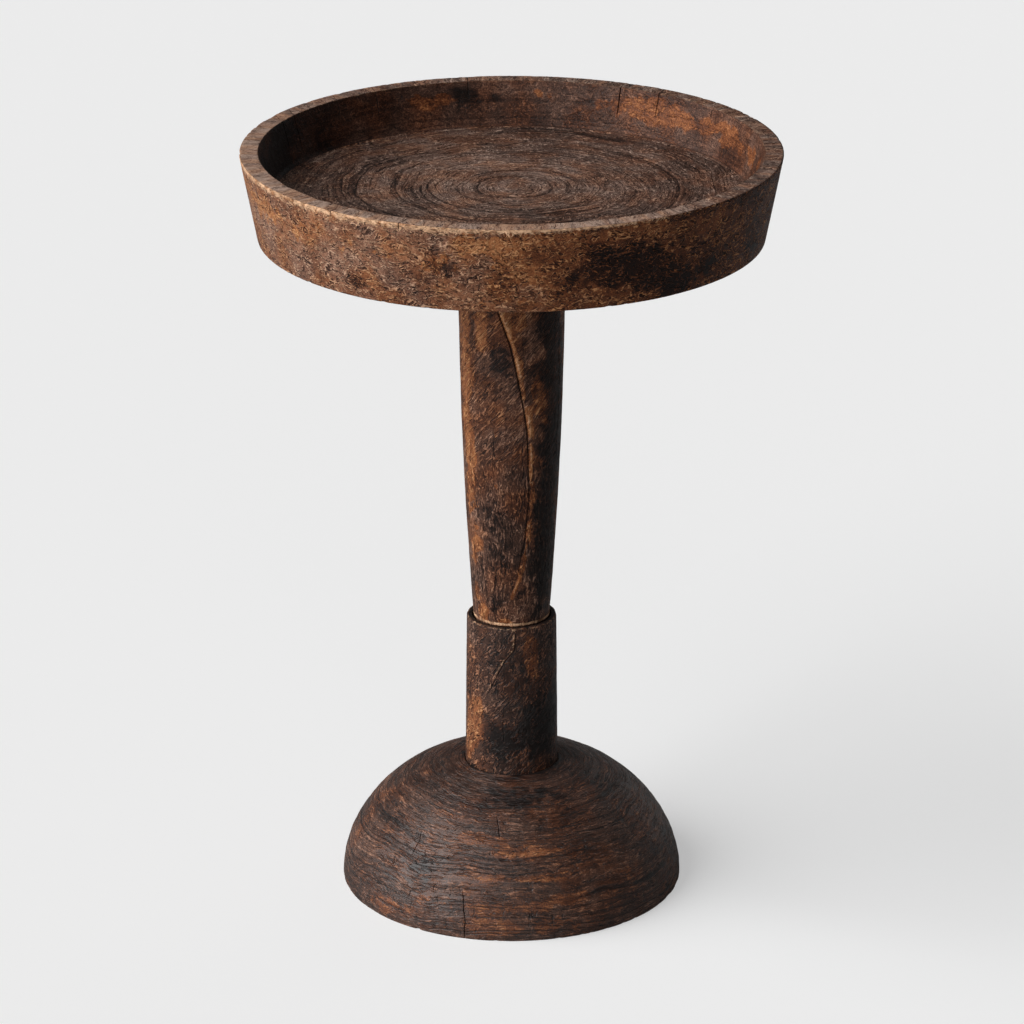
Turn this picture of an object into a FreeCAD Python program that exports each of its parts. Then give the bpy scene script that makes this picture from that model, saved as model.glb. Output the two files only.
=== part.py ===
"""Pedestal side table: a dished tray on a tapered column, which stands in a collar on a domed base.

The column has a round tenon at each end. The upper one is blind and sits in the tray's floor. The
lower one runs down through the collar and the base. Two wedges spread the end of each tenon inside
its flared mortise, so the four turned pieces stay locked together without any metal.

Millimetres, +Z up. The origin is the middle of the base's underside, on the floor.
"""

import FreeCAD
import Part
import Sketcher
import math
import os
from types import SimpleNamespace

# Driving sizes: name, millimetres, what it measures
SIZES = (
    ("table_height", 580.0, "floor to the top of the rim"),
    ("tray_height", 65.0, "tray's underside to the top of the rim"),
    ("tray_rim_diameter", 400.0, "outside of the tray at the rim"),
    ("tray_flare", 12.5, "how far the outer wall leans out, from underside to rim"),
    ("rim_width", 14.4, "flat top of the rim"),
    ("well_lean", 9.6, "how far the inner wall leans out, from floor to rim"),
    ("floor_thickness", 31.0, "tray's floor"),
    ("floor_corner_radius", 5.0, "hollow corner between the tray's floor and its wall"),
    ("rim_edge_radius", 1.5, "both top edges of the rim"),
    ("underside_edge_radius", 1.0, "lower outer edge of the tray"),
    ("column_top_diameter", 80.0, "column under the tray"),
    ("column_taper", 11.7, "what the column loses in radius from top to foot"),
    ("tray_shoulder", 16.5, "ledge around the upper tenon, which carries the tray"),
    ("foot_shoulder", 8.0, "ledge around the lower tenon, which stands in the socket"),
    ("mortise_cover", 9.0, "wood left over the blind mortise in the tray"),
    ("mortise_end_gap", 1.0, "room between the upper tenon's end and its mortise"),
    ("tenon_flare", 1.0, "what the wedges add to a tenon's radius at its end"),
    ("glue_gap", 0.2, "radial room around each tenon"),
    ("collar_length", 120.5, "collar from end to end"),
    ("collar_ledge", 3.9, "collar's rim outside the socket"),
    ("collar_flare", 1.3, "what the collar gains in radius from top to foot"),
    ("collar_edge_radius", 1.2, "upper outer edge of the collar"),
    ("socket_depth", 6.0, "how deep the column's foot stands in the collar"),
    ("socket_gap", 1.8, "open ring around the column's foot in the socket"),
    ("base_diameter", 260.0, "dome on the floor"),
    ("base_height", 95.0, "floor to the crown of the dome"),
    ("shoulder_drop", 15.0, "crown's height over the radius of the dome's lower curve"),
    ("shoulder_height", 34.0, "where the lower curve hands over to the crown's curve"),
    ("base_edge_radius", 0.8, "lower outer edge of the dome"),
    ("seat_depth", 2.0, "how deep the collar sits in the crown"),
    ("seat_gap", 0.5, "open ring around the collar's foot in its seat"),
    ("foot_recess_depth", 6.0, "how far the lower tenon's end stays off the floor"),
    ("foot_recess_margin", 5.0, "ring of the recess around the lower tenon's end"),
    ("wedge_thickness", 4.0, "thick end of a wedge"),
    ("wedge_tip", 1.0, "thin end of a wedge, as wide as the saw cut"),
    ("wedge_end_gap", 1.0, "how far a wedge stops short of the tenon's round at each end"),
    ("saw_cut_heel", 3.0, "solid wood of the upper tenon under its saw cuts"),
    ("saw_cut_over", 1.5, "saw cut past the tip of a wedge"),
    ("foot_wedge_length", 38.0, "wedge in the lower tenon"),
)

AXIS = None
ORIGIN, START, END, CENTRE = 1, 1, 2, 3
H_AXIS, V_AXIS = -1, -2


class Size:
    """A length with its value and the expression that ties it to the sheet."""

    def __init__(self, value, text):
        self.value = value
        self.text = text

    def __add__(self, other):
        return Size(self.value + other.value, f"({self.text} + {other.text})")

    def __sub__(self, other):
        return Size(self.value - other.value, f"({self.text} - {other.text})")

    def __neg__(self):
        return Size(-self.value, f"(-1 * {self.text})")

    def __mul__(self, number):
        return Size(self.value * number, f"({self.text} * {number})")

    def __truediv__(self, number):
        return Size(self.value / number, f"({self.text} / {number})")

    def chord(self, offset):
        """Width of a round of this radius at a distance from its middle."""
        value = 2 * math.sqrt(self.value**2 - offset.value**2)
        return Size(value, f"(2 * sqrt({self.text}^2 - {offset.text}^2))")


def fill_sheet():
    """Write the driving sizes into the sheet and return them by name."""
    sizes = {}
    for row, (alias, value, note) in enumerate(SIZES, 1):
        sheet.set(f"A{row}", note)
        sheet.set(f"B{row}", str(value))
        sheet.setAlias(f"B{row}", alias)
        sizes[alias] = Size(value, f"Sizes.{alias}")
    doc.recompute()
    return SimpleNamespace(**sizes)


doc = FreeCAD.newDocument("pedestal_side_table")
sheet = doc.addObject("Spreadsheet::Sheet", "Sizes")
s = fill_sheet()

# Heights of the stack, from the floor up
collar_foot_z = s.base_height - s.seat_depth
column_foot_z = collar_foot_z + s.collar_length - s.socket_depth
tray_underside_z = s.table_height - s.tray_height
column_length = tray_underside_z - column_foot_z

# Radii that the pieces share
column_top_radius = s.column_top_diameter / 2
column_foot_radius = column_top_radius - s.column_taper
tray_tenon_radius = column_top_radius - s.tray_shoulder
foot_tenon_radius = column_foot_radius - s.foot_shoulder
foot_bore_radius = foot_tenon_radius + s.glue_gap
socket_radius = column_foot_radius + s.socket_gap
collar_top_radius = socket_radius + s.collar_ledge
collar_foot_radius = collar_top_radius + s.collar_flare
seat_radius = collar_foot_radius + s.seat_gap

# Tenons and their wedges
mortise_depth = s.floor_thickness - s.mortise_cover
tray_tenon_length = mortise_depth - s.mortise_end_gap
foot_tenon_length = column_foot_z - s.foot_recess_depth
tray_wedge_length = mortise_depth - s.saw_cut_heel - s.saw_cut_over


def bind(feature, name, size):
    """Drive one property of a feature from the sheet."""
    feature.setExpression(name, size.text)


def new_body(label, height=None):
    """Start a sub-part whose own origin stands on the axis, at a height over the floor."""
    body = doc.addObject("PartDesign::Body", label)
    body.Label = label
    if height is not None:
        bind(body, "Placement.Base.z", height)
    return body


def upright_sketch(body, name):
    """Start a sketch on the body's XZ plane: radius across, height up."""
    plane = next(f for f in body.Origin.OriginFeatures if f.Role == "XZ_Plane")
    sketch = body.newObject("Sketcher::SketchObject", name)
    sketch.AttachmentSupport = [(plane, "")]
    sketch.MapMode = "FlatFace"
    return sketch


def drive(sketch, size, *reference):
    """Add a constraint whose size comes from the sheet."""
    index = sketch.addConstraint(Sketcher.Constraint(*reference, size.value))
    sketch.setExpression(f"Constraints[{index}]", size.text)


def pin(sketch, edge, end, point):
    """Hold one end of an edge at its radius and height, or on an axis of the sketch."""
    for size, kind, axis in zip(point, ("DistanceX", "DistanceY"), (V_AXIS, H_AXIS)):
        if size is AXIS:
            sketch.addConstraint(Sketcher.Constraint("PointOnObject", edge, end, axis))
        else:
            drive(sketch, size, kind, H_AXIS, ORIGIN, edge, end)


def spot(point):
    """Where a point of the sketch starts out."""
    across, up = (0.0 if size is AXIS else size.value for size in point)
    return FreeCAD.Vector(across, up, 0)


def lines(sketch, points):
    """Draw straight edges from each point to the next, and return their numbers."""
    edges = []
    for first, second in zip(points, points[1:]):
        edge = sketch.addGeometry(Part.LineSegment(spot(first), spot(second)))
        pin(sketch, edge, START, first)
        if edges:
            sketch.addConstraint(Sketcher.Constraint("Coincident", edges[-1], END, edge, START))
        edges.append(edge)
    return edges


def outline(sketch, points):
    """Draw a closed outline of straight edges."""
    edges = lines(sketch, points + points[:1])
    sketch.addConstraint(Sketcher.Constraint("Coincident", edges[-1], END, edges[0], START))


def arc(sketch, centre, radius, start_angle, end_angle):
    """Draw an arc that runs anticlockwise, and return its number."""
    circle = Part.Circle(FreeCAD.Vector(*centre, 0), FreeCAD.Vector(0, 0, 1), radius)
    return sketch.addGeometry(Part.ArcOfCircle(circle, start_angle, end_angle))


def turn(body, sketch, kind, name):
    """Turn a profile about the axis, to add to a body or to cut it."""
    feature = body.newObject(kind, name)
    feature.Profile = sketch
    feature.ReferenceAxis = (sketch, ["V_Axis"])
    feature.Angle = 360
    return feature


def bore(body, name, points):
    """Cut a turned hollow, and make sure that it removed some wood."""
    doc.recompute()
    before = body.Shape.Volume
    sketch = upright_sketch(body, f"{name}_outline")
    outline(sketch, points)
    turn(body, sketch, "PartDesign::Groove", name)
    doc.recompute()
    if body.Shape.Volume >= before:
        raise RuntimeError(f"{name} cut nothing")


def round_rings(body, name, radius, rings):
    """Round the ring-shaped edges that lie at the given radii and heights."""
    doc.recompute()
    base = body.Tip
    picked = []
    for number, edge in enumerate(base.Shape.Edges, 1):
        box = edge.BoundBox
        for across, up in rings:
            height = 0.0 if up is AXIS else up.value
            level = abs(box.ZMin - height) + abs(box.ZMax - height)
            if level + abs(box.XMax - across.value) < 0.01:
                picked.append(f"Edge{number}")
    fillet = body.newObject("PartDesign::Fillet", name)
    fillet.Base = (base, picked)
    bind(fillet, "Radius", radius)


def make_tray():
    """Dish with a flat floor, leaning walls and a blind mortise in its underside."""
    body = new_body("tray", tray_underside_z)
    rim_radius = s.tray_rim_diameter / 2
    underside_radius = rim_radius - s.tray_flare
    well_top_radius = rim_radius - s.rim_width
    well_floor_radius = well_top_radius - s.well_lean
    profile = upright_sketch(body, "tray_profile")
    points = [
        (AXIS, AXIS),
        (underside_radius, AXIS),
        (rim_radius, s.tray_height),
        (well_top_radius, s.tray_height),
        (well_floor_radius, s.floor_thickness),
        (AXIS, s.floor_thickness),
    ]
    outline(profile, points)
    turn(body, profile, "PartDesign::Revolution", "tray_turned")
    rim_rings = [(rim_radius, s.tray_height), (well_top_radius, s.tray_height)]
    round_rings(body, "rim_edges", s.rim_edge_radius, rim_rings)
    round_rings(body, "underside_edge", s.underside_edge_radius, [(underside_radius, AXIS)])
    round_rings(body, "floor_corner", s.floor_corner_radius, [(well_floor_radius, s.floor_thickness)])
    mouth = tray_tenon_radius + s.glue_gap
    mortise = [
        (AXIS, AXIS),
        (mouth, AXIS),
        (mouth + s.tenon_flare, mortise_depth),
        (AXIS, mortise_depth),
    ]
    bore(body, "tray_mortise", mortise)
    return body


def saw_cuts(body, name, thick_z, tip_z, end_z, radius):
    """Cut two wedge-shaped slots across a tenon, at a third of its width from each side."""
    sketch = upright_sketch(body, f"{name}_outline")
    for side in (-1, 1):
        middle = radius * side / 3
        wide = s.wedge_thickness / 2
        narrow = s.wedge_tip / 2
        slot = [
            (middle - wide, thick_z),
            (middle + wide, thick_z),
            (middle + narrow, tip_z),
            (middle + narrow, end_z),
            (middle - narrow, end_z),
            (middle - narrow, tip_z),
        ]
        outline(sketch, slot)
    doc.recompute()
    before = body.Shape.Volume
    cut = body.newObject("PartDesign::Pocket", name)
    cut.Profile = sketch
    cut.Midplane = True
    bind(cut, "Length", s.column_top_diameter)
    doc.recompute()
    if body.Shape.Volume >= before:
        raise RuntimeError(f"{name} cut nothing")


def make_column():
    """Tapered post with a swelling flank, a blind tenon above and a long through tenon below."""
    body = new_body("column", column_foot_z)
    top = column_length + tray_tenon_length
    bottom = -foot_tenon_length
    flare_z = bottom + s.foot_wedge_length
    profile = upright_sketch(body, "column_profile")
    below = [
        (column_foot_radius, AXIS),
        (foot_tenon_radius, AXIS),
        (foot_tenon_radius, flare_z),
        (foot_tenon_radius + s.tenon_flare, bottom),
        (AXIS, bottom),
        (AXIS, top),
        (tray_tenon_radius + s.tenon_flare, top),
        (tray_tenon_radius, column_length),
        (column_top_radius, column_length),
    ]
    edges = lines(profile, below)
    rise = column_length.value
    radius = (rise**2 + s.column_taper.value**2) / (2 * s.column_taper.value)
    centre = (column_top_radius.value - radius, rise)
    flank = arc(profile, centre, radius, -math.asin(rise / radius), 0.0)
    profile.addConstraint(Sketcher.Constraint("Coincident", edges[0], START, flank, START))
    profile.addConstraint(Sketcher.Constraint("Coincident", edges[-1], END, flank, END))
    pin(profile, flank, END, below[-1])
    drive(profile, column_length, "DistanceY", H_AXIS, ORIGIN, flank, CENTRE)
    turn(body, profile, "PartDesign::Revolution", "column_turned")
    thick_z = column_length + mortise_depth
    tip_z = thick_z - tray_wedge_length
    saw_cuts(body, "tray_tenon_cuts", thick_z, tip_z, tip_z - s.saw_cut_over, tray_tenon_radius)
    saw_cuts(body, "foot_tenon_cuts", bottom, flare_z, flare_z + s.saw_cut_over, foot_tenon_radius)
    return body


def make_collar():
    """Sleeve around the lower tenon, with a socket for the column's foot in its upper end."""
    body = new_body("collar", collar_foot_z)
    socket_floor_z = s.collar_length - s.socket_depth
    profile = upright_sketch(body, "collar_profile")
    points = [
        (foot_bore_radius, AXIS),
        (collar_foot_radius, AXIS),
        (collar_top_radius, s.collar_length),
        (socket_radius, s.collar_length),
        (socket_radius, socket_floor_z),
        (foot_bore_radius, socket_floor_z),
    ]
    outline(profile, points)
    turn(body, profile, "PartDesign::Revolution", "collar_turned")
    round_rings(body, "collar_edge", s.collar_edge_radius, [(collar_top_radius, s.collar_length)])
    return body


def make_base():
    """Dome of two curves that run into each other, bored through, with a seat in its crown."""
    body = new_body("base")
    base_radius = s.base_diameter / 2
    low_radius = s.base_height - s.shoulder_drop
    profile = upright_sketch(body, "base_profile")
    inside = [(seat_radius, s.base_height), (AXIS, s.base_height), (AXIS, AXIS), (base_radius, AXIS)]
    edges = lines(profile, inside)

    low_centre = base_radius.value - low_radius.value
    low_turn = math.asin(s.shoulder_height.value / low_radius.value)
    along = FreeCAD.Vector(math.cos(low_turn), math.sin(low_turn), 0)
    to_seat = spot(inside[0]) - FreeCAD.Vector(low_centre, 0, 0)
    reach = to_seat - along * low_radius.value
    crown_radius = reach.Length**2 / (2 * (low_radius.value - to_seat.dot(along)))
    crown_centre = FreeCAD.Vector(low_centre, 0, 0) - along * (crown_radius - low_radius.value)
    seat_way = spot(inside[0]) - crown_centre
    seat_turn = math.atan2(seat_way.y, seat_way.x)

    low = arc(profile, (low_centre, 0.0), low_radius.value, 0.0, low_turn)
    crown = arc(profile, (crown_centre.x, crown_centre.y), crown_radius, low_turn, seat_turn)
    profile.addConstraint(Sketcher.Constraint("Coincident", edges[-1], END, low, START))
    pin(profile, low, START, inside[-1])
    profile.addConstraint(Sketcher.Constraint("PointOnObject", low, CENTRE, H_AXIS))
    drive(profile, low_radius, "Radius", low)
    drive(profile, s.shoulder_height, "DistanceY", H_AXIS, ORIGIN, low, END)
    profile.addConstraint(Sketcher.Constraint("Tangent", low, END, crown, START))
    profile.addConstraint(Sketcher.Constraint("Coincident", crown, END, edges[0], START))
    turn(body, profile, "PartDesign::Revolution", "base_turned")
    round_rings(body, "base_edge", s.base_edge_radius, [(base_radius, AXIS)])

    mouth = foot_bore_radius + s.tenon_flare
    recess_radius = mouth + s.foot_recess_margin
    flare_z = s.foot_recess_depth + s.foot_wedge_length
    mortise = [
        (AXIS, AXIS),
        (recess_radius, AXIS),
        (recess_radius, s.foot_recess_depth),
        (mouth, s.foot_recess_depth),
        (foot_bore_radius, flare_z),
        (foot_bore_radius, collar_foot_z),
        (seat_radius, collar_foot_z),
        (seat_radius, s.base_height),
        (AXIS, s.base_height),
    ]
    bore(body, "base_mortise", mortise)
    return body


def make_wedge(label, side, length, radius, thick_z, tip_turn):
    """Wedge in one saw cut of a tenon, thick end at its own origin."""
    body = new_body(label, thick_z)
    bind(body, "Placement.Base.x", radius * side / 3)
    body.Placement.Rotation = FreeCAD.Rotation(FreeCAD.Vector(1, 0, 0), tip_turn)
    wide = s.wedge_thickness / 2
    narrow = s.wedge_tip / 2
    profile = upright_sketch(body, f"{label}_profile")
    outline(profile, [(-wide, AXIS), (wide, AXIS), (narrow, length), (-narrow, length)])
    pad = body.newObject("PartDesign::Pad", f"{label}_blade")
    pad.Profile = profile
    pad.Midplane = True
    bind(pad, "Length", radius.chord(radius / 3 + wide) - s.wedge_end_gap * 2)
    return body


def make_wedges():
    """Two wedges with their tips down in the upper tenon, two with their tips up in the lower one."""
    bodies = []
    for name, side in (("left", -1), ("right", 1)):
        upper = (tray_wedge_length, tray_tenon_radius, tray_underside_z + mortise_depth, 180)
        lower = (s.foot_wedge_length, foot_tenon_radius, s.foot_recess_depth, 0)
        bodies.append(make_wedge(f"tray_wedge_{name}", side, *upper))
        bodies.append(make_wedge(f"foot_wedge_{name}", side, *lower))
    return bodies


def export(bodies):
    """Write one file per sub-part, once every feature has come out whole."""
    doc.recompute()
    for feature in doc.Objects:
        if {"Invalid", "Error"} & set(feature.State):
            raise RuntimeError(f"{feature.Label} failed: {feature.State}")
    os.makedirs("parts", exist_ok=True)
    for body in bodies:
        if body.Shape.isNull() or not body.Shape.isValid() or len(body.Shape.Solids) != 1:
            raise RuntimeError(f"{body.Label} is not one sound solid")
        body.Shape.exportStep(f"parts/{body.Label}.step")
        print(body.Label, round(body.Shape.Volume), body.Shape.BoundBox)


export([make_base(), make_collar(), make_column(), make_tray()] + make_wedges())
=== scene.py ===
"""Looks of the pedestal side table: four hand-turned pieces of dark, waxed, checked and worn hardwood.

Every piece is a turned section with many small faults: it is slightly out of round, its edges are
chipped and its checks are real grooves. Sections and faults are in mm, the meshes in metres.
Angles are degrees from the front of the table, growing towards +X on the right.
"""

import math
from collections import namedtuple

import bmesh
import bpy
import numpy as np
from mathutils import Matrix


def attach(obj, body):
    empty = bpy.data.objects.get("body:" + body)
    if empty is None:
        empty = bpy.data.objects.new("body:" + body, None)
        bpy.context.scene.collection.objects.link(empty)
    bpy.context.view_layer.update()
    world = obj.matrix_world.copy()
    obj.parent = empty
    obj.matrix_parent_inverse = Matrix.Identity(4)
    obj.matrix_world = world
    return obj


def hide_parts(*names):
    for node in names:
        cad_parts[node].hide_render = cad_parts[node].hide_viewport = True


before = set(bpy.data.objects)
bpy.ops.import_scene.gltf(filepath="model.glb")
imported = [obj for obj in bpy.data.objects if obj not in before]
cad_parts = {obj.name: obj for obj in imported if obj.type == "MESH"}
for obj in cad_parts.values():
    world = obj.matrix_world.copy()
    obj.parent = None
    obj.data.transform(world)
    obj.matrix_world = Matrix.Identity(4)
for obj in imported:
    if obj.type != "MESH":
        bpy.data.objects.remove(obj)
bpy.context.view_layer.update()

MM = 0.001

# Sizes of the CAD part in mm
TRAY_TOP = 580.0
TRAY_UNDERSIDE = 515.0
TRAY_FLOOR = 546.0
RIM_OUTER = 200.0
RIM_INNER = 185.6
WELL_RADIUS = 176.0
UNDERSIDE_RADIUS = 187.5
COLUMN_TOP_RADIUS = 40.0
COLUMN_FOOT_RADIUS = 28.3
COLUMN_FOOT = 207.5
COLLAR_TOP = 213.5
COLLAR_FOOT = 93.0
COLLAR_TOP_RADIUS = 34.0
COLLAR_FOOT_RADIUS = 35.3
SOCKET_RADIUS = 30.1
BASE_RADIUS = 130.0
BASE_HEIGHT = 95.0
LOW_RADIUS = 80.0
SHOULDER_HEIGHT = 34.0
SEAT_RADIUS = 35.8
TRAY_TENON_RADIUS = 23.5
FOOT_TENON_RADIUS = 20.3
TENON_FLARE = 1.0
TENON_LENGTH = 21.0
MORTISE_END_GAP = 1.0
GLUE_GAP = 0.2
FOOT_RECESS = 6.0
RECESS_RADIUS = 26.5
WEDGE_LENGTH = 38.0

# How far the look's lower tenon ends behind its wedges, in mm
TENON_SETBACK = 0.3

# Camera of the photograph, in mm, metres and degrees
SENSOR_WIDTH = 36.0
LENS = 174.44
CAMERA_PLACE = (0.0003, -3.49885, 1.61078)
CAMERA_DOWN = 20.608

# Floor and sky: colours, strengths of light and the floor's width in metres
PAPER = (0.35, 0.35, 0.35, 1)
SHADED_PAPER = (0.53, 0.53, 0.53, 1)
WHITE = (1, 1, 1, 1)
PAPER_GLOW = 0.425
SKY_LIGHT = 0.07
FLOOR_WIDTH = 40.0

# How a check is cut: reaches in widths of the check, its fading ends as a share of its length
CLOSE_COLUMNS = 2.6
GROOVE_REACH = 1.75
BEND_REACH = 4.0
END_FADE = 0.22

# Room that a check's bend takes per degree of its swing, and how much fuller its stain is than its groove
SWING_ROOM = 1.6
STAIN_FILL = 1.6

# Noise: odd numbers that stir its bits, the bits that are kept, and how much weaker each finer layer is
STIR_X, STIR_Y, STIR_Z, STIR_SEED = 73856093, 19349663, 83492791, 2654435761
STIR_FIRST, STIR_SECOND = 1274126177, 668265263
ALL_BITS = 0xFFFFFFFF
LOW_BITS = 0xFFFFFF
LAYER_FALL = 1.8

# A corner of a section, and a split in the wood along a path of (distance along the section, angle)
Corner = namedtuple("Corner", "radius height rounding spacing mark", defaults=(0.0, 1.1, None))
Check = namedtuple("Check", "path width depth stain", defaults=(1.0,))


def lattice(ix, iy, iz, seed):
    """Even random numbers from 0 to 1 on a grid of whole numbers."""
    mixed = ix * STIR_X ^ iy * STIR_Y ^ iz * STIR_Z ^ seed * STIR_SEED
    mixed = (mixed ^ (mixed >> 13)) * STIR_FIRST & ALL_BITS
    mixed = (mixed ^ (mixed >> 16)) * STIR_SECOND & ALL_BITS
    return ((mixed ^ (mixed >> 15)) & LOW_BITS) / LOW_BITS


def noise(points, size, seed):
    """Smooth noise from 0 to 1 whose blobs are about as wide as size."""
    scaled = points / size
    cell = np.floor(scaled).astype(np.int64)
    part = scaled - cell
    part = part * part * (3 - 2 * part)
    total = 0.0
    for corner in range(8):
        step = np.array([corner & 1, corner >> 1 & 1, corner >> 2])
        share = np.where(step, part, 1 - part).prod(-1)
        total = total + share * lattice(*np.moveaxis(cell + step, -1, 0), seed)
    return total


def layered(points, size, seed, layers=3):
    """Noise with finer and weaker layers on top, from 0 to 1."""
    total, weight = 0.0, 0.0
    for layer in range(layers):
        total = total + noise(points, size / 2**layer, seed + layer) / LAYER_FALL**layer
        weight += 1 / LAYER_FALL**layer
    return total / weight


def smooth_step(low, high, value):
    """0 below low, 1 above high, and an even run between."""
    part = np.clip((value - low) / (high - low), 0, 1)
    return part * part * (3 - 2 * part)


def bell(value, middle, reach):
    """1 at the middle, falling away to nothing."""
    return np.exp(-(((value - middle) / reach) ** 2))


def bow(centre, radius, first, last, spacing):
    """Corners along a stretch of a circle, from one angle to another in radians."""
    count = max(3, round(abs(last - first) * radius / spacing))
    corners = []
    for angle in np.linspace(first, last, count + 1):
        across = centre[0] + radius * math.cos(angle)
        up = centre[1] + radius * math.sin(angle)
        corners.append(Corner(across, up, 0, spacing))
    return corners


def round_off(before, corner, after, spacing=0.6):
    """Points of the rounding between two straight edges."""
    spot = np.array(corner[:2])
    back, ahead = (np.array(end[:2]) - spot for end in (before, after))
    back, ahead = back / np.linalg.norm(back), ahead / np.linalg.norm(ahead)
    half = math.acos(np.clip(back @ ahead, -1, 1)) / 2
    inward = (back + ahead) / np.linalg.norm(back + ahead)
    centre = spot + inward * corner.rounding / math.sin(half)
    count = max(4, round(corner.rounding * (math.pi - 2 * half) / spacing))
    points = []
    for k in range(count + 1):
        swing = (math.pi - 2 * half) * (k / count - 0.5)
        lean = -inward * math.cos(swing) + (ahead - back) / np.linalg.norm(ahead - back) * math.sin(swing)
        points.append(centre + lean * corner.rounding)
    return points


class Section:
    """Half section of a turned piece: points from corner to corner, and their distances along it.

    The flank, from one marked corner to another, is the stretch on which heights are looked up.
    """

    def __init__(self, *corners, flank=()):
        points = [np.array(corners[0][:2], float)]
        marks = {}
        for k, corner in enumerate(corners[1:], 1):
            ends = [np.array(corner[:2], float)]
            if corner.rounding:
                ends = round_off(corners[k - 1], corner, corners[k + 1])
            start = points[-1]
            count = max(1, round(np.linalg.norm(ends[0] - start) / corner.spacing))
            points += [start + (ends[0] - start) * n / count for n in range(1, count + 1)]
            if corner.mark:
                marks[corner.mark] = len(points) - 1 + len(ends) // 2
            points += ends[1:]
        self.points = np.array(points)
        steps = np.linalg.norm(np.diff(self.points, axis=0), axis=1)
        self.along = np.concatenate([[0.0], np.cumsum(steps)])
        self.marks = {name: self.along[index] for name, index in marks.items()}
        self.flank = flank

    def up(self, *steps):
        """Path of a check on the flank, from (height, angle) steps."""
        first, last = (self.marks[name] for name in self.flank)
        part = (self.along >= first) & (self.along <= last)
        heights, distances = self.points[part, 1], self.along[part]
        return [(float(np.interp(height, heights, distances)), angle) for height, angle in steps]


def middle_angle(path):
    """Angle halfway between the two ends of a check's swing."""
    angles = [angle for along, angle in path]
    return (min(angles) + max(angles)) / 2


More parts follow.
